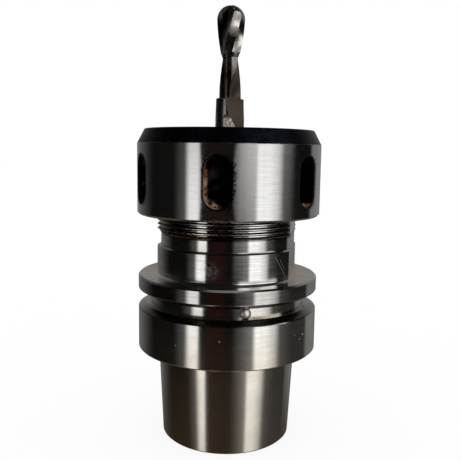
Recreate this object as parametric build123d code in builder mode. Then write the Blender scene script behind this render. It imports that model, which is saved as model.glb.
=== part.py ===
from build123d import *

import os
from math import hypot, isclose, radians, tan

# Collet chuck: a hollow taper shank with a gripper flange and a threaded nose, a slotted spring
# collet, a clamping nut with its own thrust ring, and a two-flute ball-nose cutter in the collet.
# Frame: the axis is Z and the origin is the centre of the flange's contact face. +Z points from
# the spindle to the cutter, and the two wrench flats face +X and -X. Angles are from +X about +Z.

# Hollow taper shank
flange_diameter = 63.0
taper_gauge_diameter = 48.01
taper_gauge_depth = 6.3
taper_rate = 9.98
shank_length = 32.0
shank_end_chamfer = 0.6
face_relief_width = 1.6
face_relief_depth = 0.6
face_recess_width = 0.7
face_recess_depth = 0.5
clamp_bore_diameter = 34.0
clamp_undercut = 1.5
clamp_shoulder_depth = 18.13
clamp_shoulder_angle = 30.0
hollow_floor_depth = 10.0
hollow_mouth_chamfer = 0.8
coolant_thread_diameter = 17.0
coolant_thread_length = 12.0
coolant_bore_diameter = 12.0

# Flange with the gripper groove
flange_height = 26.0
contact_edge_chamfer = 0.4
flange_top_chamfer = 0.6
groove_drop = 8.2
groove_mouth_width = 6.6
groove_floor_width = 3.6
groove_depth = 4.2
groove_flank_angle = 30.0
groove_edge_chamfer = 0.2

# Domed pin pressed into a cross drilling in the groove
pin_diameter = 3.5
pin_length = 6.0
pin_proud = 1.0
pin_dome = 0.7
pin_fit = 0.01
pin_angle = -65.5
pin_drop = 0.2

# Neck, wrench flats and threaded nose
neck_diameter = 50.0
neck_length = 10.4
neck_fillet = 0.8
recess_depth = 0.43
recess_length = 4.2
recess_chamfer = 0.5
flat_depth = 2.0
flats_length = 22.0
thread_diameter = 50.0
thread_pitch = 1.5
thread_depth_rate = 0.6134
thread_clearance = 0.1
nose_height = 61.9
nose_chamfer = 0.5

# Slotted collet, 8 degrees a side
collet_length = 46.0
collet_recess = 0.5
collet_taper_angle = 8.0
collet_land_step = 0.5
collet_land_length = 1.5
collet_cone_rise = 3.7
collet_cone_angle = 30.0
collet_groove_depth = 1.2
collet_groove_width = 2.6
collet_bore_clearance = 0.02
collet_relief_depth = 0.48
collet_relief_length = 12.0
collet_edge_chamfer = 0.5
collet_slot_pairs = 8
collet_slot_width = 0.9
collet_front_web = 7.0
collet_rear_web = 5.0
cone_clearance = 0.03
socket_floor_gap = 1.5
socket_pocket_depth = 7.0

# Clamping nut
nut_overhang = 14.1
nut_wall = 6.8
nut_length = 29.0
nut_bottom_chamfer = 0.7
nut_front_chamfer_radial = 2.4
nut_front_chamfer_axial = 4.6
nut_front_wall = 3.7
nut_front_land = 0.3
nut_guide_step = 1.1
nut_guide_land = 1.3
nut_mouth_chamfer = 0.8
pocket_count = 6
pocket_angle = -84.4
pocket_width = 8.6
pocket_bottom_gap = 4.1
pocket_front_gap = 8.7
pocket_depth = 4.2
pocket_edge_chamfer = 0.35

# Thrust ring with its eccentric lip, and the rings that carry it in the nut
collar_wall = 0.65
collar_clearance = 0.2
collar_recess = 0.2
ring_shoulder = 2.5
ring_clearance = 0.1
ring_edge_chamfer = 0.3
land_clearance = 0.25
lip_height = 1.29
lip_clearance = 0.1
lip_play = 0.2
lip_offset = 0.9
slide_ring_thickness = 1.0
slide_ring_gap = 0.1
snap_groove_depth = 1.05
snap_ring_thickness = 1.2
snap_ring_width = 2.7
snap_ring_opening = 8.0
snap_ring_clearance = 0.05

# Ball-nose cutter
cutter_stickout = 41.8
cutter_length = 72.0
cutter_shank_diameter = 10.0
cutter_shank_length = 40.9
cutter_end_chamfer = 0.5
cutter_step_chamfer = 0.3
cutter_neck_diameter = 7.5
cutter_head_diameter = 9.6
cutter_head_length = 17.5
cutter_head_chamfer_angle = 30.0
flute_lead = 105.0
flute_land_drop = 17.7
flute_land_angle = -78.0
flute_land_half_angle = 37.5
flute_hook_angle = 13.0
flute_rake_foot = 1.3
flute_core_diameter = 4.6
relief_heel_drop = 0.4
relief_middle_drop = 0.12
runout_drop = 30.5
runout_floor_radius = 2.4
wheel_radius = 30.0
gash_web = 0.1
gash_past_centre = 0.15
gash_tip_drop = 0.25
gash_depth = 4.5

os.makedirs("parts", exist_ok=True)


def polar(radius, angle):
    """A sketch point at a radius and an angle in degrees."""
    return Vector(radius, 0).rotate(Axis.Z, angle)


def facing(angle, distance, height):
    """A plane square to the radius at this angle, its local Y along +Z and its normal outward."""
    outward = Vector(1, 0, 0).rotate(Axis.Z, angle)
    return Plane(origin=outward * distance + Vector(0, 0, height), x_dir=Vector(0, 0, 1), z_dir=outward)


# Radii from the nose thread inward: what the nut guides, the thrust ring in it, then the collet
flange_radius = flange_diameter / 2
thread_root_radius = thread_diameter / 2 - thread_depth_rate * thread_pitch
nut_thread_radius = thread_diameter / 2 + thread_clearance
guide_radius = nut_thread_radius - nut_guide_step
ring_flange_radius = guide_radius - ring_clearance
collar_radius = ring_flange_radius - ring_shoulder
cavity_radius = collar_radius - collar_wall
land_radius = cavity_radius - land_clearance
collet_radius = land_radius - collet_land_step
snap_radius = collet_radius - collet_groove_depth
face_radius = land_radius - collet_cone_rise
shank_radius = cutter_shank_diameter / 2
collet_bore_radius = shank_radius + collet_bore_clearance
collet_relief_radius = collet_bore_radius + collet_relief_depth

# Heights of the nut and the collet, which both follow the nose
nut_front = nose_height + nut_overhang
collet_front = nut_front - collet_recess
collet_tail = collet_front - collet_length
land_top = collet_front - collet_cone_rise / tan(radians(collet_cone_angle))
land_bottom = land_top - collet_land_length
taper_top = land_bottom - collet_groove_width


def taper_shank_radius(height):
    """Radius of the shank's outer taper at a height below the contact face."""
    return (taper_gauge_diameter + (height + taper_gauge_depth) / taper_rate) / 2


def collet_taper_radius(height):
    """Radius of the collet's rear taper at a height."""
    return collet_radius - (taper_top - height) * tan(radians(collet_taper_angle))


# Holder: shank, flange and nose turned and ground from one bar
socket_floor = collet_tail - socket_floor_gap
pocket_floor = socket_floor - socket_pocket_depth
clamp_radius = clamp_bore_diameter / 2
shoulder_rise = clamp_undercut / tan(radians(clamp_shoulder_angle))
groove_height = flange_height - groove_drop
groove_floor_radius = flange_radius - groove_depth
flank_run = (groove_mouth_width - groove_floor_width) / 2 / tan(radians(groove_flank_angle))
relief_radius = taper_shank_radius(-face_relief_width) - face_relief_depth
contact_inner_radius = taper_shank_radius(0) + face_recess_width
neck_radius = neck_diameter / 2
neck_top = flange_height + neck_length
recess_radius = thread_root_radius - recess_depth
thread_start = neck_top + recess_length
mouth_radius = collet_taper_radius(nose_height) + cone_clearance
tail_radius = collet_taper_radius(socket_floor) + cone_clearance
with BuildPart() as holder_body:
    with BuildSketch(Plane.XZ):
        with BuildLine():
            Polyline(
                (clamp_radius + hollow_mouth_chamfer, -shank_length),
                (taper_shank_radius(-shank_length) - shank_end_chamfer, -shank_length),
                (taper_shank_radius(shank_end_chamfer - shank_length), shank_end_chamfer - shank_length),
                (taper_shank_radius(-face_relief_width), -face_relief_width),
                (relief_radius, -face_relief_width + face_relief_depth),
                (relief_radius, face_recess_depth),
                (contact_inner_radius, face_recess_depth),
                (contact_inner_radius, 0),
                (flange_radius - contact_edge_chamfer, 0),
                (flange_radius, contact_edge_chamfer),
                (flange_radius, groove_height - groove_mouth_width / 2),
                (flange_radius - flank_run, groove_height - groove_floor_width / 2),
                (groove_floor_radius, groove_height - groove_floor_width / 2),
                (groove_floor_radius, groove_height + groove_floor_width / 2),
                (flange_radius - flank_run, groove_height + groove_floor_width / 2),
                (flange_radius, groove_height + groove_mouth_width / 2),
                (flange_radius, flange_height - flange_top_chamfer),
                (flange_radius - flange_top_chamfer, flange_height),
                (neck_radius, flange_height),
                (neck_radius, neck_top - recess_chamfer),
                (neck_radius - recess_chamfer, neck_top),
                (recess_radius, neck_top),
                (recess_radius, thread_start),
                (thread_root_radius, thread_start + recess_depth),
                (thread_root_radius, nose_height - nose_chamfer),
                (thread_root_radius - nose_chamfer, nose_height),
                (mouth_radius + nose_chamfer, nose_height),
                (mouth_radius, nose_height - nose_chamfer),
                (tail_radius, socket_floor),
                (tail_radius, pocket_floor),
                (coolant_bore_diameter / 2, pocket_floor - (tail_radius - coolant_bore_diameter / 2) / 2),
                (coolant_bore_diameter / 2, coolant_thread_length - hollow_floor_depth),
                (coolant_thread_diameter / 2, coolant_thread_length - hollow_floor_depth),
                (coolant_thread_diameter / 2, -hollow_floor_depth),
                (clamp_radius + clamp_undercut, -hollow_floor_depth),
                (clamp_radius + clamp_undercut, -clamp_shoulder_depth),
                (clamp_radius, -clamp_shoulder_depth - shoulder_rise),
                (clamp_radius, hollow_mouth_chamfer - shank_length),
                close=True,
            )
        make_face()
    revolve(axis=Axis.Z)
    turned_edges = holder_body.edges().filter_by(GeomType.CIRCLE)
    neck_foot = turned_edges.filter_by(
        lambda e: isclose(e.radius, neck_radius) and isclose(e.center().Z, flange_height)
    )
    flange_top_width = flange_radius - flange_top_chamfer - neck_radius
    fillet(neck_foot, min(neck_fillet, flange_top_width / 2))
    turned_edges = holder_body.edges().filter_by(GeomType.CIRCLE)
    groove_rims = turned_edges.filter_by(
        lambda e: isclose(e.radius, flange_radius)
        and isclose(abs(e.center().Z - groove_height), groove_mouth_width / 2)
    )
    chamfer(groove_rims, groove_edge_chamfer)
    with BuildSketch(Plane.XY.offset(flange_height)):
        with PolarLocations(neck_radius - flat_depth + flange_radius / 2, 2):
            Rectangle(flange_radius, flange_diameter)
    extrude(amount=flats_length, mode=Mode.SUBTRACT)
    pin_root = facing(pin_angle, groove_floor_radius + pin_proud - pin_length, groove_height - pin_drop)
    with BuildSketch(pin_root):
        Circle(pin_diameter / 2 + pin_fit)
    extrude(amount=2 * pin_length, mode=Mode.SUBTRACT)

# Hardened pin with a domed end that plugs the cross drilling
with BuildPart() as groove_pin:
    with BuildSketch(Plane(pin_root.origin, x_dir=pin_root.x_dir, z_dir=-pin_root.y_dir)):
        with BuildLine():
            Polyline(
                (0, pin_length), (0, 0), (pin_diameter / 2, 0), (pin_diameter / 2, pin_length - pin_dome)
            )
            dome_radius = (pin_diameter**2 / 4 + pin_dome**2) / 2 / pin_dome
            RadiusArc((pin_diameter / 2, pin_length - pin_dome), (0, pin_length), -dome_radius)
        make_face()
    revolve(axis=Axis(pin_root.origin, pin_root.z_dir))

# Collet: ground tapers, a snap groove, and slots sawn in turn from the front and from the rear
with BuildPart() as collet:
    with BuildSketch(Plane.XZ):
        with BuildLine():
            Polyline(
                (collet_relief_radius, collet_tail),
                (collet_taper_radius(collet_tail) - collet_edge_chamfer, collet_tail),
                (
                    collet_taper_radius(collet_tail + collet_edge_chamfer),
                    collet_tail + collet_edge_chamfer,
                ),
                (collet_radius, taper_top),
                (snap_radius, taper_top),
                (snap_radius, land_bottom),
                (land_radius, land_bottom),
                (land_radius, land_top),
                (face_radius, collet_front),
                (collet_bore_radius + collet_edge_chamfer, collet_front),
                (collet_bore_radius, collet_front - collet_edge_chamfer),
                (collet_bore_radius, collet_tail + collet_relief_length),
                (collet_relief_radius, collet_tail + collet_relief_length),
                close=True,
            )
        make_face()
    revolve(axis=Axis.Z)
    half_pitch = 180 / collet_slot_pairs
    with BuildSketch(Plane.XY.offset(collet_front)):
        with PolarLocations(land_radius / 2, collet_slot_pairs):
            Rectangle(land_radius + collet_slot_width, collet_slot_width)
    extrude(amount=collet_rear_web - collet_length, mode=Mode.SUBTRACT)
    with BuildSketch(Plane.XY.offset(collet_tail)):
        with PolarLocations(land_radius / 2, collet_slot_pairs, start_angle=half_pitch):
            Rectangle(land_radius + collet_slot_width, collet_slot_width)
    extrude(amount=collet_length - collet_front_web, mode=Mode.SUBTRACT)

# Clamping nut: turned body with spanner pockets milled into its side
nut_bottom = nut_front - nut_length
nut_radius = nut_thread_radius + nut_wall
nut_shoulder = nut_front - nut_front_wall
front_bore_radius = collar_radius + collar_clearance
ring_top = nut_shoulder - slide_ring_thickness
lip_top = land_bottom - lip_clearance
ring_bottom = lip_top - lip_height
snap_top = ring_bottom - ring_clearance
snap_bottom = snap_top - snap_ring_thickness
snap_groove_radius = guide_radius + snap_groove_depth
guide_bottom = snap_bottom - nut_guide_land
pocket_height = nut_length - pocket_front_gap - pocket_bottom_gap
pocket_middle = nut_bottom + pocket_bottom_gap + pocket_height / 2
with BuildPart() as nut_body:
    with BuildSketch(Plane.XZ):
        with BuildLine():
            Polyline(
                (nut_thread_radius + nut_mouth_chamfer, nut_bottom),
                (nut_radius - nut_bottom_chamfer, nut_bottom),
                (nut_radius, nut_bottom + nut_bottom_chamfer),
                (nut_radius, nut_front - nut_front_land - nut_front_chamfer_axial),
                (nut_radius - nut_front_chamfer_radial, nut_front - nut_front_land),
                (nut_radius - nut_front_chamfer_radial - nut_front_land, nut_front),
                (front_bore_radius + nut_front_land, nut_front),
                (front_bore_radius, nut_front - nut_front_land),
                (front_bore_radius, nut_shoulder),
                (guide_radius, nut_shoulder),
                (guide_radius, snap_top),
                (snap_groove_radius, snap_top),
                (snap_groove_radius, snap_bottom),
                (guide_radius, snap_bottom),
                (guide_radius, guide_bottom),
                (nut_thread_radius, guide_bottom - nut_guide_step),
                (nut_thread_radius, nut_bottom + nut_mouth_chamfer),
                close=True,
            )
        make_face()
    revolve(axis=Axis.Z)
    for turn in range(pocket_count):
        pocket_turn = pocket_angle + turn * 360 / pocket_count
        with BuildSketch(facing(pocket_turn, nut_radius - pocket_depth, pocket_middle)):
            SlotOverall(pocket_height, pocket_width)
        extrude(amount=2 * pocket_depth, mode=Mode.SUBTRACT)
        rim = nut_body.edges(Select.LAST).filter_by(
            lambda e: abs(hypot(e.center().X, e.center().Y) - nut_radius) < pocket_edge_chamfer
        )
        chamfer(rim, pocket_edge_chamfer)

# Thrust ring: presses on the collet's front cone, and its off-centre lip snaps into the groove
cone_mouth = face_radius + cone_clearance
ring_front = nut_front - collar_recess
cavity_top = collet_front - (cavity_radius - cone_mouth) / tan(radians(collet_cone_angle))
ring_mouth_radius = cone_mouth - (ring_front - collet_front) * tan(radians(collet_cone_angle))
with BuildPart() as thrust_ring:
    with BuildSketch(Plane.XZ):
        with BuildLine():
            Polyline(
                (snap_radius, ring_bottom),
                (ring_flange_radius - ring_edge_chamfer, ring_bottom),
                (ring_flange_radius, ring_bottom + ring_edge_chamfer),
                (ring_flange_radius, ring_top - ring_edge_chamfer),
                (ring_flange_radius - ring_edge_chamfer, ring_top),
                (collar_radius, ring_top),
                (collar_radius, ring_front - ring_edge_chamfer),
                (collar_radius - ring_edge_chamfer, ring_front),
                (ring_mouth_radius, ring_front),
                (cavity_radius, cavity_top),
                (cavity_radius, lip_top),
                (snap_radius, lip_top),
                close=True,
            )
        make_face()
    revolve(axis=Axis.Z)
    with BuildSketch(Plane.XY.offset(ring_bottom)):
        with Locations((lip_offset, 0)):
            Circle(land_radius + lip_play)
    extrude(amount=lip_height, mode=Mode.SUBTRACT)

# Slide ring: a thin bronze washer between the nut's shoulder and the thrust ring
with BuildPart() as slide_ring:
    with BuildSketch(Plane.XY.offset(ring_top)):
        Circle(guide_radius - slide_ring_gap)
        Circle(front_bore_radius + slide_ring_gap, mode=Mode.SUBTRACT)
    extrude(amount=slide_ring_thickness)

# Snap ring: an open spring-steel ring that holds the thrust ring in the nut
snap_ring_radius = snap_groove_radius - snap_ring_clearance
with BuildPart() as snap_ring:
    with BuildSketch(Plane.XY.offset(snap_bottom + snap_ring_clearance)):
        Circle(snap_ring_radius)
        Circle(snap_ring_radius - snap_ring_width, mode=Mode.SUBTRACT)
        with Locations((0, snap_ring_radius)):
            Rectangle(snap_ring_opening, snap_ring_radius, mode=Mode.SUBTRACT)
    extrude(amount=snap_ring_thickness - 2 * snap_ring_clearance)

# What one flute and the relief behind its edge leave free: a section twisted up the tool, and the
# straight run-out that the grinding wheel leaves in the shank
cutter_top = nut_front + cutter_stickout
cutter_tail = cutter_top - cutter_length
shank_top = cutter_tail + cutter_shank_length
head_radius = cutter_head_diameter / 2
core_radius = flute_core_diameter / 2
runout_height = cutter_top - runout_drop
flute_height = cutter_top + cutter_end_chamfer - runout_height
land_angle = flute_land_angle - 360 * (runout_drop - flute_land_drop) / flute_lead
edge_angle = land_angle + flute_land_half_angle
heel_angle = land_angle + 180 - flute_land_half_angle
with BuildPart() as flute:
    with BuildSketch(Plane.XY.offset(runout_height), mode=Mode.PRIVATE) as flute_section:
        rake_foot = polar(flute_rake_foot * core_radius, edge_angle + flute_hook_angle)
        heel = polar(head_radius - relief_heel_drop, heel_angle)
        relief_middle = polar(head_radius - relief_middle_drop, land_angle + 180)
        with BuildLine():
            Polyline(polar(2 * head_radius, edge_angle), polar(head_radius, edge_angle), rake_foot)
            ThreePointArc(rake_foot, polar(core_radius, (edge_angle + heel_angle) / 2), heel)
            Polyline(
                heel,
                relief_middle,
                polar(head_radius, edge_angle + 180),
                polar(2 * head_radius, edge_angle + 180),
            )
            ThreePointArc(
                polar(2 * head_radius, edge_angle + 180),
                polar(2 * head_radius, edge_angle + 90),
                polar(2 * head_radius, edge_angle),
            )
        make_face()
    add(
        Solid.extrude_linear_with_rotation(
            flute_section.sketch.face(),
            (0, 0, runout_height),
            (0, 0, flute_height),
            360 * flute_height / flute_lead,
        )
    )
    wheel_centre = polar(runout_floor_radius + wheel_radius, land_angle + 90) + Vector(0, 0, runout_height)
    with BuildSketch(Plane(origin=wheel_centre, x_dir=(0, 0, 1), z_dir=polar(1, land_angle))):
        Circle(wheel_radius)
    extrude(amount=shank_radius, both=True)

# Gash ground into the ball end ahead of one edge, so that both edges meet over a thin web
tip_edge_angle = edge_angle + 360 * runout_drop / flute_lead
with BuildPart() as gash:
    web_side = polar(gash_web, tip_edge_angle + 90) + Vector(0, 0, cutter_top)
    with BuildSketch(
        Plane(origin=web_side, x_dir=polar(1, tip_edge_angle), z_dir=polar(1, tip_edge_angle - 90))
    ):
        with BuildLine():
            Polyline(
                (-gash_past_centre, cutter_end_chamfer),
                (-gash_past_centre, -gash_tip_drop),
                (head_radius, -gash_depth),
                (head_radius, cutter_end_chamfer),
                close=True,
            )
        make_face()
    extrude(amount=-2 * head_radius)

# Cutter: carbide blank with a cylindrical shank, a reduced neck and a ball end
ball_centre = cutter_top - head_radius
head_bottom = cutter_top - cutter_head_length
head_step = (head_radius - cutter_neck_diameter / 2) / tan(radians(cutter_head_chamfer_angle))
with BuildPart() as cutter:
    with BuildSketch(Plane.XZ):
        with BuildLine():
            Polyline(
                (0, cutter_top),
                (0, cutter_tail),
                (shank_radius - cutter_end_chamfer, cutter_tail),
                (shank_radius, cutter_tail + cutter_end_chamfer),
                (shank_radius, shank_top - cutter_step_chamfer),
                (shank_radius - cutter_step_chamfer, shank_top),
                (cutter_neck_diameter / 2, shank_top),
                (cutter_neck_diameter / 2, head_bottom),
                (head_radius, head_bottom + head_step),
                (head_radius, ball_centre),
            )
            RadiusArc((head_radius, ball_centre), (0, cutter_top), -head_radius)
        make_face()
    revolve(axis=Axis.Z)
    with PolarLocations(0, 2):
        add(flute.part, mode=Mode.SUBTRACT)
        add(gash.part, mode=Mode.SUBTRACT)

for name, piece in {
    "holder_body": holder_body,
    "groove_pin": groove_pin,
    "collet": collet,
    "nut_body": nut_body,
    "thrust_ring": thrust_ring,
    "slide_ring": slide_ring,
    "snap_ring": snap_ring,
    "cutter": cutter,
}.items():
    piece.part.label = name
    export_step(piece.part, f"parts/{name}.step")
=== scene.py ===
import math

import bmesh
import bpy
from mathutils import Matrix, Vector


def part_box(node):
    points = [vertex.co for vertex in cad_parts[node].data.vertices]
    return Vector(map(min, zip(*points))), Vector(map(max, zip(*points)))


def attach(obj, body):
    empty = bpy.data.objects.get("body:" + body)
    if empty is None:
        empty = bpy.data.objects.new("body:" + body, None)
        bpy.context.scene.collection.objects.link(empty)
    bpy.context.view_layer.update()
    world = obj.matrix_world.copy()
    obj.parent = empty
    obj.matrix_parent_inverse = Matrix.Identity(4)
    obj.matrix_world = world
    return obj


# Collet chuck with a ball-nose cutter, standing on the open end of its hollow taper shank.
# The axis is Z, heights are measured from the flange's contact face, and +Z points to the cutter.
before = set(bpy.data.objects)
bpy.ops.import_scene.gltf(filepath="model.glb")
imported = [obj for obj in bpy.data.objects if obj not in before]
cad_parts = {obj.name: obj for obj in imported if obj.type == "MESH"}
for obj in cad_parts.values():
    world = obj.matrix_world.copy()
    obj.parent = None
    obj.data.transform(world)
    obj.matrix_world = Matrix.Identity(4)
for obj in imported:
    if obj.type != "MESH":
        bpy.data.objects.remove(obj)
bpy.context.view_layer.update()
mm = 0.001

# Camera: a phone held close, 216 mm from the axis and a little above the nut, looking slightly
# down. The chuck's axis stands left of the picture's centre, and the phone was a little tilted.
picture_width = 460
focal_pixels = 611.86
camera_distance = 215.8 * mm
camera_height = 68.93 * mm
camera_side = math.radians(12)
camera_pitch = math.radians(-7.398)
camera_yaw = math.radians(-0.182)
camera_roll = math.radians(0.86)
camera_data = bpy.data.cameras.new("phone_camera")
camera_data.sensor_width = 36
camera_data.lens = camera_data.sensor_width * focal_pixels / picture_width
camera_data.clip_start = 0.01
camera = bpy.data.objects.new("phone_camera", camera_data)
bpy.context.scene.collection.objects.link(camera)
camera.matrix_world = (
    Matrix.Translation(
        (
            math.sin(camera_side) * camera_distance,
            -math.cos(camera_side) * camera_distance,
            camera_height,
        )
    )
    @ Matrix.Rotation(camera_side + camera_yaw, 4, "Z")
    @ Matrix.Rotation(math.radians(90) + camera_pitch, 4, "X")
    @ Matrix.Rotation(camera_roll, 4, "Z")
)
bpy.context.scene.camera = camera
bpy.context.scene.view_settings.view_transform = "Standard"


# Holder: one bar of case-hardened steel, turned, then ground on its taper, flange and neck, with
# two wrench flats milled into the neck. Handling has left a brown film on it low down.
def srgb(code):
    """An sRGB hex colour as linear RGBA."""
    values = [int(code[i : i + 2], 16) / 255 for i in (0, 2, 4)]
    return [v / 12.92 if v <= 0.04045 else ((v + 0.055) / 1.055) ** 2.4 for v in values] + [1]


def add(tree, kind, *inputs, **settings):
    """Adds one node with its settings. Its inputs are given in order, or by name in one dict."""
    made = tree.nodes.new("ShaderNode" + kind)
    for name, value in settings.items():
        setattr(made, name, value)
    if inputs and isinstance(inputs[0], dict):
        given = [(made.inputs[name], value) for name, value in inputs[0].items()]
    else:
        given = zip([socket for socket in made.inputs if socket.enabled], inputs)
    for socket, value in given:
        if isinstance(value, bpy.types.Node):
            value = next(output for output in value.outputs if output.enabled)
        if isinstance(value, bpy.types.NodeSocket):
            tree.links.new(value, socket)
        else:
            socket.default_value = srgb(value) if isinstance(value, str) else value
    return made


def new_material(name):
    """An empty material's node tree and its output node."""
    material = bpy.data.materials.new(name)
    material.use_nodes = True
    material.node_tree.nodes.clear()
    return material, material.node_tree, add(material.node_tree, "OutputMaterial")


def on_turned_part(tree):
    """A place on a turned part, its height, its radius, and its angle from +X in degrees."""
    place = add(tree, "TexCoord").outputs["Object"]
    parts = add(tree, "SeparateXYZ", place)
    across = add(tree, "CombineXYZ", parts.outputs[0], parts.outputs[1], 0.0)
    radius = add(tree, "VectorMath", across, operation="LENGTH")
    angle = add(tree, "Math", parts.outputs[1], parts.outputs[0], operation="ARCTAN2")
    return place, parts.outputs[2], radius, add(tree, "Math", angle, operation="DEGREES")


def grinding_rings(tree, place, radius, pitch):
    """Grinding marks that run round the axis, this far apart along it or outwards from it."""
    mark_length = 24 * pitch
    scale = (1 / mark_length, 1 / mark_length, 1 / pitch)
    drawn_out = add(tree, "Mapping", {"Vector": place, "Scale": scale})
    outwards = add(tree, "CombineXYZ", 0.0, 0.0, add(tree, "Math", radius, pitch, operation="DIVIDE"))
    drawn_out = add(tree, "VectorMath", drawn_out, outwards, operation="ADD")
    return add(tree, "TexNoise", {"Vector": drawn_out, "Scale": 1.0, "Detail": 2.0}).outputs[0]


def ground_finish(tree, out, colour, rough, marks, depth, metallic=1.0):
    """Ground metal, which mirrors sharply round the axis and blurs along it."""
    surface = {
        "Base Color": colour,
        "Metallic": metallic,
        "Roughness": rough,
        "Anisotropic": 0.9,
        "Anisotropic Rotation": 0.25,
        "Normal": add(tree, "Bump", {"Height": marks, "Distance": depth}),
        "Tangent": add(tree, "Tangent", direction_type="RADIAL", axis="Z"),
    }
    tree.links.new(add(tree, "BsdfPrincipled", surface).outputs[0], out.inputs["Surface"])


def point_on(radius, angle, height):
    """The point at a radius, an angle from +X in degrees, and a height."""
    return Matrix.Rotation(math.radians(angle), 3, "Z") @ Vector((radius, 0, height))


def degrees_from(tree, angle, middle):
    """How many degrees an angle lies from a middle one, to either side."""
    away = add(tree, "Math", angle, middle, operation="SUBTRACT")
    away = add(tree, "Math", away, 180.0, -180.0, operation="WRAP")
    return add(tree, "Math", away, operation="ABSOLUTE")


def scratch(tree, place, start, end, width):
    """1 on a scratch from start to end, as a thin line across the surface there."""
    middle = (start + end) / 2
    side = (end - start).cross(Vector((middle.x, middle.y, 0))).normalized()
    from_middle = add(tree, "VectorMath", place, middle, operation="SUBTRACT")
    off_line = add(tree, "VectorMath", from_middle, side, operation="DOT_PRODUCT")
    off_line = add(tree, "Math", off_line, operation="ABSOLUTE")
    along = add(tree, "VectorMath", from_middle, operation="LENGTH")
    half = (end - start).length / 2
    line = add(tree, "MapRange", off_line, width, width / 4)
    return add(tree, "Math", line, add(tree, "MapRange", along, half, half * 0.8), operation="MULTIPLY")


# Ground case-hardened steel: fine bright rings, a thin brown film from the flange down, dust beside
# the neck and painted shade in the groove. The rings are drawn about three times as coarse as real
# ones, so that they show.
# Angles are in degrees from +X, seen from above. The middle of the chuck's front is at this one.
front_angle = -78.0
neck_radius = 25.0 * mm
flange_radius = 31.5 * mm
flange_top = 26.0 * mm
groove_bottom = 15.6 * mm
groove_middle = 17.8 * mm
groove_top = 20.0 * mm
groove_floor_half = 1.8 * mm
groove_mouth_half = 3.6 * mm
thread_foot = 40.8 * mm
flat_distance = 23.0 * mm
ring_pitch = 0.45 * mm
film_patch = 9 * mm
film_top = 24 * mm
grain = 0.36 * mm
handled_top = -8 * mm
handled_foot = -34 * mm
holder_steel, tree, out = new_material("ground_case_hardened_steel")
place, height, radius, angle = on_turned_part(tree)
marks = grinding_rings(tree, place, radius, ring_pitch)
film = add(tree, "TexNoise", {"Vector": place, "Scale": 1 / film_patch, "Detail": 3.0}).outputs[0]
grains = add(tree, "TexNoise", {"Vector": place, "Scale": 1 / grain, "Detail": 2.0}).outputs[0]
ring_tone = add(tree, "MapRange", marks, 0.3, 0.7)
colour = add(tree, "Mix", ring_tone, "B3B2AF", "C9C8C5", data_type="RGBA")
low_down = add(tree, "MapRange", height, film_top, 0.0, interpolation_type="SMOOTHSTEP")
brown = add(tree, "MapRange", low_down, 0.0, 1.0, 0.0, 0.8)
colour = add(tree, "Mix", brown, colour, "B5AFA5", data_type="RGBA")
patchy = add(tree, "MapRange", film, 0.45, 0.75, 0.0, 0.3)
colour = add(tree, "Mix", patchy, colour, "857E73", data_type="RGBA")
handled = add(tree, "MapRange", height, handled_top, handled_foot, 0.0, 0.4)
colour = add(tree, "Mix", handled, colour, "7D776C", data_type="RGBA")

# Dirt: dust on the flange's top beside the neck, brown near it and grey further out, and in the
# groove a thin brown oil film. Painted shade: the groove's two flanks are painted near black, most
# on the front and less towards the sides. The rim above the groove is painted a little darker.
dust_edge = 30.5 * mm
grey_dust = 29 * mm
brown_dust = 27 * mm
from_front = degrees_from(tree, angle, front_angle)
dust = add(tree, "MapRange", from_front, 42.0, 75.0)
near_neck = add(tree, "MapRange", radius, dust_edge, neck_radius + 0.8 * mm, 0.85, 1.0)
dust = add(tree, "Math", dust, near_neck, operation="MULTIPLY")
over_flange = add(tree, "MapRange", height, flange_top - 0.3 * mm, flange_top)
below_foot = add(tree, "MapRange", height, flange_top + 0.9 * mm, flange_top + 0.4 * mm)
dust = add(tree, "Math", dust, over_flange, operation="MULTIPLY")
dust = add(tree, "Math", dust, below_foot, operation="MULTIPLY")
broken = add(tree, "MapRange", add(tree, "Math", film, grains), 0.8, 1.2, 0.4, 0.8)
dust = add(tree, "Math", dust, broken, operation="MULTIPLY")
in_groove = add(tree, "MapRange", radius, flange_radius - 0.5 * mm, flange_radius - 3 * mm, 0.0, 0.3)
above = add(tree, "MapRange", height, groove_bottom - 1 * mm, groove_bottom)
below = add(tree, "MapRange", height, groove_top + 1 * mm, groove_top)
in_groove = add(tree, "Math", in_groove, above, operation="MULTIPLY")
in_groove = add(tree, "Math", in_groove, below, operation="MULTIPLY")
colour = add(tree, "Mix", in_groove, colour, "9A8E7C", data_type="RGBA")
# Painted shade: the groove's two flanks are painted near black, strongest on the chuck's front.
from_middle = add(tree, "Math", height, groove_middle, operation="SUBTRACT")
from_middle = add(tree, "Math", from_middle, operation="ABSOLUTE")
shaded_flank = add(tree, "MapRange", from_middle, groove_floor_half, groove_floor_half + 0.15 * mm)
front_shade_weight = add(tree, "MapRange", from_front, 55.0, 75.0, 0.85, 0.25)
shaded_flank = add(tree, "Math", shaded_flank, front_shade_weight, operation="MULTIPLY")
inside_rim = add(tree, "MapRange", radius, flange_radius - 0.02 * mm, flange_radius - 0.1 * mm)
near_groove = add(tree, "MapRange", from_middle, groove_mouth_half, groove_mouth_half - 0.1 * mm)
shaded_flank = add(tree, "Math", shaded_flank, inside_rim, operation="MULTIPLY")
shaded_flank = add(tree, "Math", shaded_flank, near_groove, operation="MULTIPLY")
colour = add(tree, "Mix", shaded_flank, colour, "241F1A", data_type="RGBA")
# The rim above the groove is painted a little darker grey.
above_groove = add(tree, "MapRange", height, groove_top + 0.5 * mm, groove_top + 1.5 * mm, 0.0, 0.42)
under_top = add(tree, "MapRange", height, flange_top, flange_top - 0.6 * mm)
darker_rim = add(tree, "Math", above_groove, under_top, operation="MULTIPLY")
colour = add(tree, "Mix", darker_rim, colour, "7A7772", data_type="RGBA")
dust_tone = add(tree, "MapRange", radius, grey_dust, brown_dust)
dust_tone = add(tree, "Mix", dust_tone, "A8A297", "B8A287", data_type="RGBA")
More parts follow.
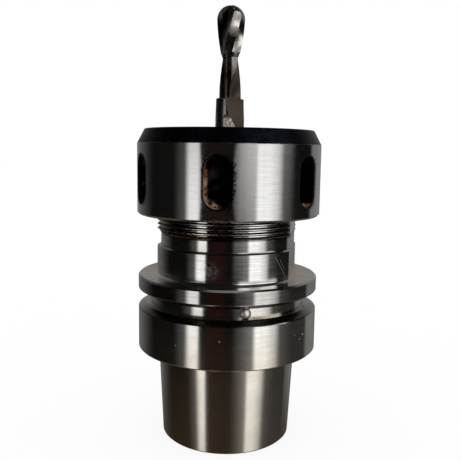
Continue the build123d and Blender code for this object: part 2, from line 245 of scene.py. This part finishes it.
colour = add(tree, "Mix", dust, colour, dust_tone, data_type="RGBA")

# A dark band is painted where the thread ends above the neck. Rust: a thin brown line in it on the left.
band_thins = (-82.0, -68.0)
rust_ends = (-94.0, -88.0)
band_foot = add(tree, "MapRange", height, thread_foot - 0.9 * mm, thread_foot - 0.6 * mm)
band_top = add(tree, "MapRange", height, thread_foot + 1.0 * mm, thread_foot + 0.7 * mm)
oil_and_dark_band = add(tree, "Math", band_foot, band_top, operation="MULTIPLY")
thinned = add(tree, "MapRange", angle, *band_thins, 1.0, 0.65)
oil_and_dark_band = add(tree, "Math", oil_and_dark_band, thinned, operation="MULTIPLY")
colour = add(tree, "Mix", oil_and_dark_band, colour, "342E27", data_type="RGBA")
rust = add(tree, "MapRange", height, thread_foot - 0.6 * mm, thread_foot - 0.3 * mm)
rust_top = add(tree, "MapRange", height, thread_foot + 0.8 * mm, thread_foot + 0.5 * mm)
rust_side = add(tree, "MapRange", angle, *rust_ends, 1.0, 0.0)
off_axis = add(tree, "Math", add(tree, "SeparateXYZ", place).outputs[0], operation="ABSOLUTE")
clear_of_flat = add(tree, "MapRange", off_axis, flat_distance, flat_distance - 0.2 * mm)
rust_side = add(tree, "Math", rust_side, clear_of_flat, operation="MULTIPLY")
rust = add(tree, "Math", rust, rust_top, operation="MULTIPLY")
rust = add(tree, "Math", rust, rust_side, operation="MULTIPLY")
rust = add(tree, "Math", rust, add(tree, "MapRange", grains, 0.45, 0.65, 0.1, 0.7), operation="MULTIPLY")
colour = add(tree, "Mix", rust, colour, "7E5C3E", data_type="RGBA")

# Damage: fine pits at one place on the neck, two thin scratches, and a few specks on the flange.
# A scratch is given by its two ends and its width, and a speck by its angle, height and size.
pitted_place = point_on(neck_radius, -91.5, 30.5 * mm)
pitted_size = 3.8 * mm
from_pits = add(tree, "VectorMath", place, pitted_place, operation="DISTANCE")
pits = add(tree, "MapRange", from_pits, pitted_size, 0.4 * mm, 0.0, 0.6)
pits = add(tree, "Math", pits, add(tree, "MapRange", grains, 0.55, 0.61), operation="MULTIPLY")
scratches = [
    (point_on(neck_radius, -40, 35.0 * mm), point_on(neck_radius, -27, 27.0 * mm), 0.07 * mm),
    (point_on(neck_radius, -35, 34.0 * mm), point_on(neck_radius, -29, 30.0 * mm), 0.04 * mm),
]
marked = pits
for start, end, width in scratches:
    line = scratch(tree, place, start, end, width)
    marked = add(tree, "Math", marked, line, operation="MAXIMUM")
specks = [
    (-25, 8.9 * mm, 0.42 * mm),
    (-82, 9.8 * mm, 0.22 * mm),
    (-28, 7.6 * mm, 0.25 * mm),
    (-109, 7.0 * mm, 0.16 * mm),
    (-33, 9.6 * mm, 0.16 * mm),
]
for speck_angle, speck_height, speck_size in specks:
    centre = point_on(flange_radius, speck_angle, speck_height)
    away = add(tree, "VectorMath", place, centre, operation="DISTANCE")
    speck = add(tree, "MapRange", away, speck_size, speck_size / 2)
    marked = add(tree, "Math", marked, speck, operation="MAXIMUM")
colour = add(tree, "Mix", marked, colour, "A39E96", data_type="RGBA")
dull = add(tree, "Math", marked, dust, operation="MAXIMUM")
dull = add(tree, "Math", dull, rust, operation="MAXIMUM")
metallic = add(tree, "MapRange", dull, 0.0, 1.0, 1.0, 0.25)
rough = add(tree, "MapRange", marks, 0.0, 1.0, 0.10, 0.16)
rough = add(tree, "Math", low_down, 0.05, rough, operation="MULTIPLY_ADD")
rough = add(tree, "Math", patchy, 0.06, rough, operation="MULTIPLY_ADD")
rough = add(tree, "Math", in_groove, 0.1, rough, operation="MULTIPLY_ADD")
rough = add(tree, "Math", dull, 0.4, rough, operation="MULTIPLY_ADD")
relief = add(tree, "Math", grains, 0.5, marks, operation="MULTIPLY_ADD")
ground_finish(tree, out, colour, rough, relief, 0.0025 * mm, metallic)
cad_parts["holder_body"].material_slots[0].material = holder_steel


# Nose thread: 50 mm with a 1.5 mm pitch, right-handed, cut on the holder's own nose. It runs out
# into the undercut below and the chamfer above, and the wrench flats cut through its lower turns.
# A ridge's foot and crest are each a radius and the ridge's width there.
thread_pitch = 1.5 * mm
first_crest_at_front = 42.4 * mm
thread_start = 41.1 * mm
thread_end = 61.35 * mm
flats_top = 48.0 * mm
ridge_foot = (24.0 * mm, 1.25 * mm)
ridge_crest = (25.0 * mm, 0.19 * mm)
steps_a_turn = 96
sharp_edge = math.radians(20)


def thread_ridge(foot, crest, first_height, last_height, crest_height):
    """One thread ridge between two heights, its ends cut off square, with a crest at this height."""
    shape = bmesh.new()
    turns = math.ceil((last_height - first_height) / thread_pitch) + 2
    turns_below = 1 + math.ceil((crest_height - first_height) / thread_pitch)
    lead_in = crest_height - thread_pitch * turns_below
    corners = [
        shape.verts.new(point_on(end_radius, front_angle, lead_in + side * width / 2))
        for end_radius, width, side in ((*foot, -1), (*crest, -1), (*crest, 1), (*foot, 1))
    ]
    edges = [shape.edges.new((corners[i - 1], corners[i])) for i in range(4)]
    steps = turns * steps_a_turn
    bmesh.ops.spin(
        shape,
        geom=corners + edges,
        axis=(0, 0, 1),
        cent=(0, 0, 0),
        dvec=(0, 0, thread_pitch * turns / steps),
        angle=math.tau * turns,
        steps=steps,
    )
    bmesh.ops.holes_fill(shape, edges=shape.edges, sides=4)
    cut_off(shape, (0, 0, first_height), (0, 0, -1))
    cut_off(shape, (0, 0, last_height), (0, 0, 1))
    return shape


def cut_off(shape, place, outward):
    """Cuts away what lies past a plane, and closes the cut."""
    whole = shape.verts[:] + shape.edges[:] + shape.faces[:]
    cut = bmesh.ops.bisect_plane(shape, geom=whole, plane_co=place, plane_no=outward, clear_outer=True)
    rims = [part for part in cut["geom_cut"] if isinstance(part, bmesh.types.BMEdge)]
    bmesh.ops.holes_fill(shape, edges=rims)


def finished_piece(name, shape, body, material):
    """A piece from its shape, with its finish, riding on its body."""
    bmesh.ops.recalc_face_normals(shape, faces=shape.faces)
    for face in shape.faces:
        face.smooth = True
    for edge in shape.edges:
        edge.smooth = edge.calc_face_angle(0) < sharp_edge
    mesh = bpy.data.meshes.new(name)
    shape.to_mesh(mesh)
    shape.free()
    mesh.materials.append(material)
    piece = bpy.data.objects.new(name, mesh)
    bpy.context.scene.collection.objects.link(piece)
    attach(piece, body)


# Cut thread: turned, not ground, so duller than the rest, with patches of oil, painted shade between
# its crests and a painted highlight on them.
thread_steel, tree, out = new_material("oiled_thread_painted_shade_and_highlight")
place, height, radius, angle = on_turned_part(tree)
oil_and_dark_band = add(tree, "TexNoise", {"Vector": place, "Scale": 1 / (1.5 * mm), "Detail": 3.0}).outputs[0]
colour = add(tree, "Mix", add(tree, "MapRange", oil_and_dark_band, 0.45, 0.75), "84817C", "524A3F", data_type="RGBA")
foot_radius = ridge_foot[0]
crest_radius = ridge_crest[0]
# Painted shade: the roots between the crests are painted near black.
root_shade = add(tree, "MapRange", radius, foot_radius + 0.6 * mm, foot_radius + 0.25 * mm, 0.0, 0.75)
colour = add(tree, "Mix", root_shade, colour, "2A2622", data_type="RGBA")
# Painted highlight: the crests are painted pale.
crest_highlight = add(tree, "MapRange", radius, crest_radius - 0.3 * mm, crest_radius - 0.08 * mm)
colour = add(tree, "Mix", crest_highlight, colour, "CFCDC8", data_type="RGBA")
surface = {
    "Base Color": colour,
    "Metallic": 1.0,
    "Roughness": add(tree, "MapRange", oil_and_dark_band, 0.3, 0.7, 0.16, 0.3),
    "Normal": add(tree, "Bump", {"Height": oil_and_dark_band, "Distance": 0.0015 * mm}),
}
tree.links.new(add(tree, "BsdfPrincipled", surface).outputs[0], out.inputs["Surface"])
full_turns = thread_ridge(ridge_foot, ridge_crest, flats_top, thread_end, first_crest_at_front)
finished_piece("nose_thread", full_turns, "holder", thread_steel)
cut_turns = thread_ridge(ridge_foot, ridge_crest, thread_start, flats_top, first_crest_at_front)
for side in (-1, 1):
    cut_off(cut_turns, (side * (flat_distance - 0.01 * mm), 0, 0), (side, 0, 0))
finished_piece("nose_thread_at_flats", cut_turns, "holder", thread_steel)

# Groove pin: a hardened pin with a domed end, pressed into the cross drilling in the groove.
# Polished steel: smooth and bright, so that it catches one small highlight, with painted brown shade at
# its foot.
dome_foot = 27.6 * mm
pin_polish, tree, out = new_material("polished_hardened_pin")
place, height, radius, angle = on_turned_part(tree)
wear = add(tree, "TexNoise", {"Vector": place, "Scale": 1 / (0.8 * mm), "Detail": 4.0}).outputs[0]
# Painted shade: the pin turns brown towards its foot, where it sits deep in the groove.
edge = add(tree, "MapRange", radius, dome_foot + 0.6 * mm, dome_foot)
worn = add(tree, "MapRange", wear, 0.4, 0.7, 0.0, 0.5)
colour = add(tree, "Mix", worn, "DEDBD6", "AFA69B", data_type="RGBA")
colour = add(tree, "Mix", edge, colour, "5C5044", data_type="RGBA")
surface = {
    "Base Color": colour,
    "Metallic": 0.85,
    "Roughness": add(tree, "MapRange", wear, 0.3, 0.8, 0.34, 0.46),
    "Normal": add(tree, "Bump", {"Height": wear, "Distance": 0.01 * mm}),
}
tree.links.new(add(tree, "BsdfPrincipled", surface).outputs[0], out.inputs["Surface"])
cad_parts["groove_pin"].material_slots[0].material = pin_polish

# Collet and thrust ring: hardened spring steel and hardened steel, both ground on their cones.
# Satin ground steel: greyer and a little duller than the holder, with patches of oil.
satin_steel, tree, out = new_material("satin_ground_hardened_steel")
place, height, radius, angle = on_turned_part(tree)
marks = grinding_rings(tree, place, radius, 0.3 * mm)
oil_and_dark_band = add(tree, "TexNoise", {"Vector": place, "Scale": 1 / (5 * mm), "Detail": 3.0}).outputs[0]
colour = add(tree, "Mix", add(tree, "MapRange", marks, 0.3, 0.7), "8F8E8B", "A6A5A1", data_type="RGBA")
oiled = add(tree, "MapRange", oil_and_dark_band, 0.45, 0.7, 0.0, 0.5)
colour = add(tree, "Mix", oiled, colour, "5E564B", data_type="RGBA")
rough = add(tree, "MapRange", marks, 0.0, 1.0, 0.24, 0.36)
ground_finish(tree, out, colour, rough, marks, 0.003 * mm)
for node in ("collet", "thrust_ring"):
    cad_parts[node].material_slots[0].material = satin_steel

# Slide ring: a thin turned washer of bearing bronze that lets the nut turn on the thrust ring.
# Oiled bronze: warm yellow-brown with fine turning marks, darker where the oil has dried.
bearing_bronze, tree, out = new_material("oiled_bearing_bronze")
place, height, radius, angle = on_turned_part(tree)
marks = grinding_rings(tree, place, radius, 0.25 * mm)
oil_and_dark_band = add(tree, "TexNoise", {"Vector": place, "Scale": 1 / (3 * mm), "Detail": 4.0}).outputs[0]
oiled = add(tree, "MapRange", oil_and_dark_band, 0.4, 0.7, 0.0, 0.6)
colour = add(tree, "Mix", oiled, "B9925A", "7A5A34", data_type="RGBA")
rough = add(tree, "MapRange", oil_and_dark_band, 0.3, 0.7, 0.25, 0.45)
ground_finish(tree, out, colour, rough, marks, 0.004 * mm)
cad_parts["slide_ring"].material_slots[0].material = bearing_bronze

# Snap ring: an open ring of tempered spring steel that holds the thrust ring in the nut.
# Blued spring steel: dark blue from its heat treatment, with straw-brown patches.
blued_steel, tree, out = new_material("blued_spring_steel")
place, height, radius, angle = on_turned_part(tree)
marks = grinding_rings(tree, place, radius, 0.2 * mm)
heat = add(tree, "TexNoise", {"Vector": place, "Scale": 1 / (6 * mm), "Detail": 3.0}).outputs[0]
tinted = add(tree, "MapRange", heat, 0.45, 0.7)
colour = add(tree, "Mix", tinted, "3A4560", "5E5146", data_type="RGBA")
ground_finish(tree, out, colour, add(tree, "MapRange", heat, 0.3, 0.7, 0.22, 0.38), marks, 0.003 * mm)
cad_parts["snap_ring"].material_slots[0].material = blued_steel

# Clamping nut: turned from hardened steel and blackened all over, then its side was ground bright.
# Six spanner pockets milled into the side keep the black finish and have caught brown residue.
nut_radius = 31.9 * mm
front_edge = 71.1 * mm
pocket_angle = -84.4
pocket_spacing = 60.0
pocket_half_width = 4.3 * mm
pocket_bottom = 51.1 * mm
pocket_top = 67.3 * mm
wetted_angle = -60.0
wetted_half = 50.0
wetted_fade = 25.0
rust_foot = 61.5 * mm
cream_top = 59.0 * mm
nut_thread_start = 47.85 * mm
nut_thread_end = 62.4 * mm
nut_ridge_foot = (25.16 * mm, 1.35 * mm)
nut_ridge_crest = (24.19 * mm, 0.30 * mm)
nut_steel, tree, out = new_material("ground_side_on_blackened_steel")
place, height, radius, angle = on_turned_part(tree)
marks = grinding_rings(tree, place, radius, 0.25 * mm)
chips = add(tree, "TexNoise", {"Vector": place, "Scale": 1 / (0.5 * mm), "Detail": 3.0}).outputs[0]
cloud = add(tree, "TexNoise", {"Vector": place, "Scale": 1 / (2.2 * mm), "Detail": 4.0}).outputs[0]

# Where each pocket lies: across it and along it from its middle line, and past its wall.
turned = add(tree, "Math", angle, pocket_angle, operation="SUBTRACT")
turned = add(tree, "Math", turned, pocket_spacing / 2, -pocket_spacing / 2, operation="WRAP")
turned = add(tree, "Math", turned, operation="RADIANS")
across = add(tree, "Math", add(tree, "Math", turned, operation="SINE"), radius, operation="MULTIPLY")
nearest = add(tree, "Clamp", height, pocket_bottom + pocket_half_width, pocket_top - pocket_half_width)
along = add(tree, "Math", height, nearest, operation="SUBTRACT")
from_line = add(tree, "VectorMath", add(tree, "CombineXYZ", across, along, 0.0), operation="LENGTH")
past_wall = add(tree, "Math", from_line, pocket_half_width, operation="SUBTRACT")
ragged = add(tree, "MapRange", chips, 0.3, 0.7, -0.2 * mm, 0.2 * mm)

# Ground steel: bright rings with a few dark pits, more of them just right of each pocket.
colour = add(tree, "Mix", add(tree, "MapRange", marks, 0.3, 0.7), "B2B1AF", "BDBCBA", data_type="RGBA")
beside = add(tree, "MapRange", past_wall, 2.6 * mm, 1.0 * mm)
right_side = add(tree, "MapRange", across, 0.0, 3.5 * mm, 0.25, 1.0)
beside = add(tree, "Math", beside, right_side, operation="MULTIPLY")
threshold = add(tree, "MapRange", beside, 0.0, 1.0, 0.73, 0.47)
pits = add(tree, "Math", chips, threshold, operation="SUBTRACT")
pits = add(tree, "MapRange", pits, 0.0, 0.03)
colour = add(tree, "Mix", pits, colour, "48484A", data_type="RGBA")

# Black oxide: near-black with a blue cast and a satin surface, worn ragged where it meets the grinding.
front = add(tree, "MapRange", add(tree, "Math", height, ragged), front_edge, front_edge + 0.15 * mm)
rim = add(tree, "MapRange", add(tree, "Math", past_wall, ragged), 0.75 * mm, 0.5 * mm)
inside = add(tree, "MapRange", radius, nut_radius - 0.75 * mm, nut_radius - 0.85 * mm)
oxide = add(tree, "Math", add(tree, "Math", front, rim, operation="MAXIMUM"), inside, operation="MAXIMUM")
black = add(tree, "Mix", add(tree, "MapRange", cloud, 0.4, 0.65), "101219", "1B1D23", data_type="RGBA")
colour = add(tree, "Mix", oxide, colour, black, data_type="RGBA")

# Residue: dried coolant, rust brown to cream, on each pocket's left wall and in its bottom, with
# a little grey dust on its floor. There is most of it on the front right, where the coolant ran.
on_left = add(tree, "MapRange", across, -3.0 * mm, -4.0 * mm)
by_wall = add(tree, "MapRange", past_wall, -1.4 * mm, -0.4 * mm)
washed = add(tree, "MapRange", height, pocket_top - 1.5 * mm, pocket_top - 5 * mm, 0.25, 1.0)
on_left = add(tree, "Math", on_left, by_wall, operation="MULTIPLY")
on_left = add(tree, "Math", on_left, washed, operation="MULTIPLY")
above_corner = add(tree, "Math", across, 0.6, height, operation="MULTIPLY_ADD")
low_reach = pocket_bottom + 0.6 * mm
high_reach = pocket_bottom + 2.4 * mm
reach = add(tree, "MapRange", angle, wetted_angle, wetted_angle + 20.0, low_reach, high_reach)
past_reach = add(tree, "Math", above_corner, reach, operation="SUBTRACT")
at_bottom = add(tree, "MapRange", past_reach, 0.8 * mm, -0.8 * mm)
residue = add(tree, "Math", on_left, at_bottom, operation="MAXIMUM")
from_wetted = degrees_from(tree, angle, wetted_angle)
cleaner = add(tree, "MapRange", from_wetted, wetted_half, wetted_half + wetted_fade, 0.0, 0.45)
uneven = add(tree, "Math", cloud, chips, operation="ADD")
uneven = add(tree, "Math", uneven, cleaner, operation="SUBTRACT")
residue = add(tree, "Math", residue, add(tree, "MapRange", uneven, 0.78, 1.02), operation="MULTIPLY")
below_side = add(tree, "MapRange", radius, nut_radius - 0.3 * mm, nut_radius - 0.5 * mm)
in_pocket = add(tree, "MapRange", past_wall, 0.3 * mm, 0.1 * mm)
in_pocket = add(tree, "Math", in_pocket, below_side, operation="MULTIPLY")
residue = add(tree, "Math", residue, in_pocket, operation="MULTIPLY")
dusty = add(tree, "MapRange", across, 0.6 * mm, -1.6 * mm, 0.0, 0.25)
dust = add(tree, "Math", add(tree, "MapRange", cloud, 0.45, 0.65), dusty, operation="MULTIPLY")
dust = add(tree, "Math", dust, in_pocket, operation="MULTIPLY")
lower = add(tree, "MapRange", height, rust_foot, cream_top)
crust = add(tree, "Mix", lower, "A2602C", "CBA981", data_type="RGBA")
crust = add(tree, "Mix", add(tree, "MapRange", chips, 0.45, 0.7), crust, "7A5230", data_type="RGBA")
colour = add(tree, "Mix", dust, colour, "5A5442", data_type="RGBA")
colour = add(tree, "Mix", residue, colour, crust, data_type="RGBA")
metallic = add(tree, "MapRange", add(tree, "Math", residue, dust), 0.0, 0.7, 1.0, 0.0)
rough = add(tree, "MapRange", marks, 0.0, 1.0, 0.14, 0.19)
rough = add(tree, "Mix", oxide, rough, 0.45)
rough = add(tree, "Mix", residue, rough, 0.85)
ground_finish(tree, out, colour, rough, marks, 0.0006 * mm, metallic)
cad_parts["nut_body"].material_slots[0].material = nut_steel

# The nut's thread lies half a pitch above the nose's, so that its ridge is in the nose's groove.
nut_crest_at_front = first_crest_at_front + thread_pitch / 2
nut_turns = thread_ridge(
    nut_ridge_foot, nut_ridge_crest, nut_thread_start, nut_thread_end, nut_crest_at_front
)
finished_piece("nut_thread", nut_turns, "nut", thread_steel)

# Cutter: a two-flute ball-nose cutter, one piece of sintered carbide, its flutes and edges ground
# with a diamond wheel. The collet grips its 10 mm shank.
# Ground carbide: dark grey and half matt, bright on the ground faces, stained brown in places,
# painted brown-black down one side of the head, and painted dark on the neck below it.
head_foot = 100.3 * mm
shank_top = 86.7 * mm
nut_front = 76.0 * mm
shank_land = 4.98 * mm
neck_land = 3.73 * mm
dark_side_angle = -150.0
carbide, tree, out = new_material("ground_sintered_carbide")
place, height, radius, angle = on_turned_part(tree)
streak = (1 / (0.25 * mm), 1 / (0.25 * mm), 1 / (3 * mm))
wheel_marks = add(tree, "Mapping", {"Vector": place, "Scale": streak})
wheel_marks = add(tree, "TexNoise", {"Vector": wheel_marks, "Scale": 1.0, "Detail": 2.0}).outputs[0]
stain = add(tree, "TexNoise", {"Vector": place, "Scale": 1 / (2.6 * mm), "Detail": 4.0}).outputs[0]
streaked = add(tree, "MapRange", wheel_marks, 0.3, 0.7)
colour = add(tree, "Mix", streaked, "918E8A", "A8A5A0", data_type="RGBA")
stained = add(tree, "MapRange", stain, 0.48, 0.66, 0.0, 0.6)
colour = add(tree, "Mix", stained, colour, "3A2C24", data_type="RGBA")
# One side of the head is painted brown-black.
from_dark_side = degrees_from(tree, angle, dark_side_angle)
dark_side = add(tree, "MapRange", from_dark_side, 55.0, 38.0, 0.0, 0.92)
on_head = add(tree, "MapRange", height, head_foot - 0.5 * mm, head_foot + 0.5 * mm)
dark_side = add(tree, "Math", dark_side, on_head, operation="MULTIPLY")
colour = add(tree, "Mix", dark_side, colour, "2E2420", data_type="RGBA")
# The neck below the head is painted dark.
dark_neck = add(tree, "MapRange", height, head_foot - 2.5 * mm, head_foot - 4.5 * mm, 0.0, 0.8)
on_neck = add(tree, "MapRange", height, shank_top, shank_top + 0.2 * mm)
dark_neck = add(tree, "Math", dark_neck, on_neck, operation="MULTIPLY")
neck_tone = add(tree, "Mix", add(tree, "MapRange", stain, 0.45, 0.6), "3C3832", "6B5444", data_type="RGBA")
colour = add(tree, "Mix", dark_neck, colour, neck_tone, data_type="RGBA")

# The fine ground head and lands mirror sharply, and the coarser flutes below it are half matt.
below_head = add(tree, "MapRange", height, head_foot + 1 * mm, head_foot - 2 * mm)
land_radius = add(tree, "MapRange", height, shank_top, shank_top + 0.2 * mm, shank_land, neck_land)
under_land = add(tree, "Math", land_radius, radius, operation="SUBTRACT")
coarse = add(tree, "MapRange", under_land, 0.02 * mm, 0.1 * mm)
coarse = add(tree, "Math", coarse, below_head, operation="MULTIPLY")
coarse_tone = add(tree, "MapRange", add(tree, "Math", stain, wheel_marks), 0.9, 1.2)
coarse_tone = add(tree, "Mix", coarse_tone, "605E56", "6A5645", data_type="RGBA")
colour = add(tree, "Mix", coarse, colour, coarse_tone, data_type="RGBA")
fine_rough = add(tree, "MapRange", stain, 0.3, 0.7, 0.12, 0.22)
coarse_rough = add(tree, "MapRange", stain, 0.3, 0.7, 0.36, 0.48)
rough = add(tree, "Mix", coarse, fine_rough, coarse_rough)

# Rubbed patch: a pale scraped place on the shank beside the nut, with a rusty upper edge. Its
# right side slopes from one angle at the nut to another higher up.
patch_left = -106.0
patch_right_foot = -48.0
patch_right_top = -70.0
patch_height = 4 * mm
patch_right = add(
    tree, "MapRange", height, nut_front, nut_front + patch_height, patch_right_foot, patch_right_top
)
past_right = add(tree, "Math", patch_right, angle, operation="SUBTRACT")
past_left = add(tree, "Math", angle, patch_left, operation="SUBTRACT")
rubbed = add(tree, "MapRange", past_right, 0.0, 4.0)
rubbed = add(tree, "Math", rubbed, add(tree, "MapRange", past_left, 0.0, 6.0), operation="MULTIPLY")
scraped = add(tree, "TexNoise", {"Vector": place, "Scale": 1 / (0.7 * mm), "Detail": 4.0}).outputs[0]
upper = add(tree, "Math", height, add(tree, "MapRange", scraped, 0.3, 0.7, -0.5 * mm, 0.5 * mm))
patch_top = nut_front + patch_height
rusty = add(tree, "MapRange", upper, patch_top + 1.2 * mm, patch_top + 0.8 * mm)
rubbed = add(tree, "Math", rubbed, rusty, operation="MULTIPLY")
pale = add(tree, "MapRange", upper, patch_top + 0.2 * mm, patch_top - 0.4 * mm)
bare = add(tree, "MapRange", scraped, 0.36, 0.56, 0.15, 1.0)
pale = add(tree, "Math", pale, bare, operation="MULTIPLY")
patch = add(tree, "Mix", pale, "5A3E2C", "CFC9C2", data_type="RGBA")
colour = add(tree, "Mix", rubbed, colour, patch, data_type="RGBA")

# Chipped flute: a dull pitted place half way down the head, where chips have rubbed the flute.
chipped_place = point_on(3.6 * mm, -60, 108.6 * mm)
chipped_size = 2.2 * mm
from_chipped = add(tree, "VectorMath", place, chipped_place, operation="DISTANCE")
chipped = add(tree, "MapRange", from_chipped, chipped_size, 1.0 * mm)
dulling = add(tree, "MapRange", scraped, 0.3, 0.6, 0.1, 0.8)
chipped = add(tree, "Math", chipped, dulling, operation="MULTIPLY")
colour = add(tree, "Mix", chipped, colour, "7A7773", data_type="RGBA")
dulled = add(tree, "Math", rubbed, chipped, operation="MAXIMUM")
surface = {
    "Base Color": colour,
    "Metallic": add(tree, "MapRange", dulled, 0.0, 1.0, 1.0, 0.3),
    "Roughness": add(tree, "Mix", dulled, rough, 0.45),
    "Normal": add(tree, "Bump", {"Height": wheel_marks, "Distance": 0.006 * mm}),
}
tree.links.new(add(tree, "BsdfPrincipled", surface).outputs[0], out.inputs["Surface"])
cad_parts["cutter"].material_slots[0].material = carbide

# Floor and backdrop: plain white paper just under the chuck, with its soft shadow on it. From
# below the sheet is clear, so that the hollow end of the shank can be seen.
paper_gap = 0.03 * mm
paper_glow = 0.88
floor_size = 6.0
stand_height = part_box("holder_body")[0].z - paper_gap
shape = bmesh.new()
bmesh.ops.create_grid(shape, x_segments=1, y_segments=1, size=floor_size / 2)
bmesh.ops.translate(shape, verts=shape.verts, vec=(0, 0, stand_height))
floor_mesh = bpy.data.meshes.new("floor")
shape.to_mesh(floor_mesh)
shape.free()
floor = bpy.data.objects.new("floor", floor_mesh)
bpy.context.scene.collection.objects.link(floor)
paper, tree, out = new_material("white_paper")
seen = add(tree, "LightPath")
glow = add(tree, "Math", seen.outputs["Is Camera Ray"], paper_glow, operation="MULTIPLY")
sheet = add(tree, "BsdfDiffuse", {"Color": "FFFFFF"})
lit = add(tree, "MixShader", glow, sheet, add(tree, "Emission", {"Color": "FFFFFF", "Strength": 1.0}))
clear = add(tree, "BsdfTransparent")
lit = add(tree, "MixShader", seen.outputs["Is Glossy Ray"], lit, clear)
from_below = add(tree, "NewGeometry").outputs["Backfacing"]
lit = add(tree, "MixShader", from_below, lit, clear)
tree.links.new(lit.outputs[0], out.inputs["Surface"])
floor_mesh.materials.append(paper)

# Studio: a dim room with tall soft light panels round the chuck, as its steel mirrors them. Each
# panel runs from one bearing to another, in degrees right of the camera, with how soft its two
# edges are, its strength, and how many degrees above the horizon its foot and its top are.
light_panels = [
    (-50.8, -35.3, 4.0, 1.2, 1.64, -24, 3),
    (-49.6, -36.8, 4.5, 2.5, 1.64, -90, -24),
    (-63.0, -36.0, 8.0, 2.0, 0.12, -90, 3),
    (13.0, 40.0, 7.0, 4.0, 0.08, -90, -13),
    (25.0, 40.0, 9.0, 4.0, 0.20, -90, 90),
    (10.0, 35.0, 4.0, 3.0, 0.76, -6, 8),
    (34.5, 66.0, 3.0, 5.0, 0.98, -24, 6),
    (34.5, 56.0, 3.0, 9.0, 0.78, -24, 6),
    (36.5, 66.0, 4.0, 5.0, 0.94, -90, -24),
    (36.5, 56.0, 4.0, 9.0, 0.78, -90, -24),
    (18.0, 86.0, 4.0, 3.0, 1.30, 10, 32),
    (18.0, 34.0, 4.0, 5.0, 1.20, 10, 32),
    (54.0, 84.0, 5.0, 4.0, 1.10, 10, 32),
    (45.0, 78.0, 8.0, 12.0, 0.12, -90, 90),
    (76.0, 121.0, 10.0, 8.0, 0.05, -90, -12),
    (121.0, 200.0, 3.0, 3.0, 0.16, -25, 50),
    (121.0, 200.0, 3.0, 3.0, 0.04, -90, -25),
    (119.0, 148.0, 3.0, 18.0, 0.12, -22, 50),
    (-200.0, -125.0, 3.0, 22.0, 0.16, -25, 50),
    (-200.0, -125.0, 3.0, 22.0, 0.04, -90, -25),
    (140.0, 200.0, 10.0, 3.0, 0.10, -8, 50),
    (-200.0, -150.0, 3.0, 10.0, 0.10, -8, 50),
    (-200.0, 200.0, 3.0, 3.0, 0.40, 72, 93),
]
panel_fade = 1.5

# Between the panels the room is nearly black. Low down the steel mirrors a brown bench, and just
# left of the camera a dark red cloth that hangs over it. Camera and diffuse light see plain white.
room_tone = "0B0A09"
bench_tone = "534736"
bench_rises = (-24.0, -34.0)
cloth_tone = "280706"
cloth_left, cloth_right = -29.0, -1.0
cloth_foot, cloth_top = -26.0, -3.0
studio = bpy.data.worlds.new("studio")
bpy.context.scene.world = studio
studio.use_nodes = True
tree = studio.node_tree
tree.nodes.clear()
out = add(tree, "OutputWorld")
way = add(tree, "TexCoord").outputs["Generated"]
turned = add(tree, "Mapping", {"Vector": way, "Rotation": (0, 0, -camera_side)})
parts = add(tree, "SeparateXYZ", turned)
toward_camera = add(tree, "Math", parts.outputs[1], -1.0, operation="MULTIPLY")
bearing = add(tree, "Math", parts.outputs[0], toward_camera, operation="ARCTAN2")
bearing = add(tree, "Math", bearing, operation="DEGREES")
rise = add(tree, "Math", parts.outputs[2], operation="ARCSINE")
rise = add(tree, "Math", rise, operation="DEGREES")
light = 0.0
for first, last, first_soft, last_soft, strength, foot, top in light_panels:
    left = add(
        tree, "MapRange", bearing, first - first_soft, first + first_soft, interpolation_type="SMOOTHSTEP"
    )
    right = add(
        tree, "MapRange", bearing, last + last_soft, last - last_soft, interpolation_type="SMOOTHSTEP"
    )
    lifted = add(tree, "MapRange", rise, foot - panel_fade, foot + panel_fade, 0.0, strength)
    capped = add(tree, "MapRange", rise, top + panel_fade, top - panel_fade)
    panel = add(tree, "Math", left, right, operation="MULTIPLY")
    panel = add(tree, "Math", panel, capped, operation="MULTIPLY")
    light = add(tree, "Math", panel, lifted, light, operation="MULTIPLY_ADD")
panels = add(tree, "Background", {"Color": "FFFFFF", "Strength": light})
low = add(tree, "MapRange", rise, *bench_rises)
tone = add(tree, "Mix", low, room_tone, bench_tone, data_type="RGBA")
room = add(tree, "Background", {"Color": tone.outputs[2], "Strength": 1.0})
left = add(tree, "MapRange", bearing, cloth_left, cloth_left + 5.0)
right = add(tree, "MapRange", bearing, cloth_right, cloth_right - 5.0)
lifted = add(tree, "MapRange", rise, cloth_foot, cloth_foot + 4.0)
capped = add(tree, "MapRange", rise, cloth_top, cloth_top - 3.0)
draped = add(tree, "Math", left, right, operation="MULTIPLY")
draped = add(tree, "Math", draped, capped, operation="MULTIPLY")
draped = add(tree, "Math", draped, lifted, operation="MULTIPLY")
cloth = add(tree, "Background", {"Color": cloth_tone, "Strength": draped})
mirrored = add(tree, "AddShader", panels, add(tree, "AddShader", room, cloth))
white = add(tree, "Background", {"Color": "FFFFFF", "Strength": 1.0})
seen = add(tree, "LightPath")
lit = add(tree, "MixShader", seen.outputs["Is Glossy Ray"], white, mirrored)
lit = add(tree, "MixShader", seen.outputs["Is Camera Ray"], lit, white)
tree.links.new(lit.outputs[0], out.inputs["Surface"])
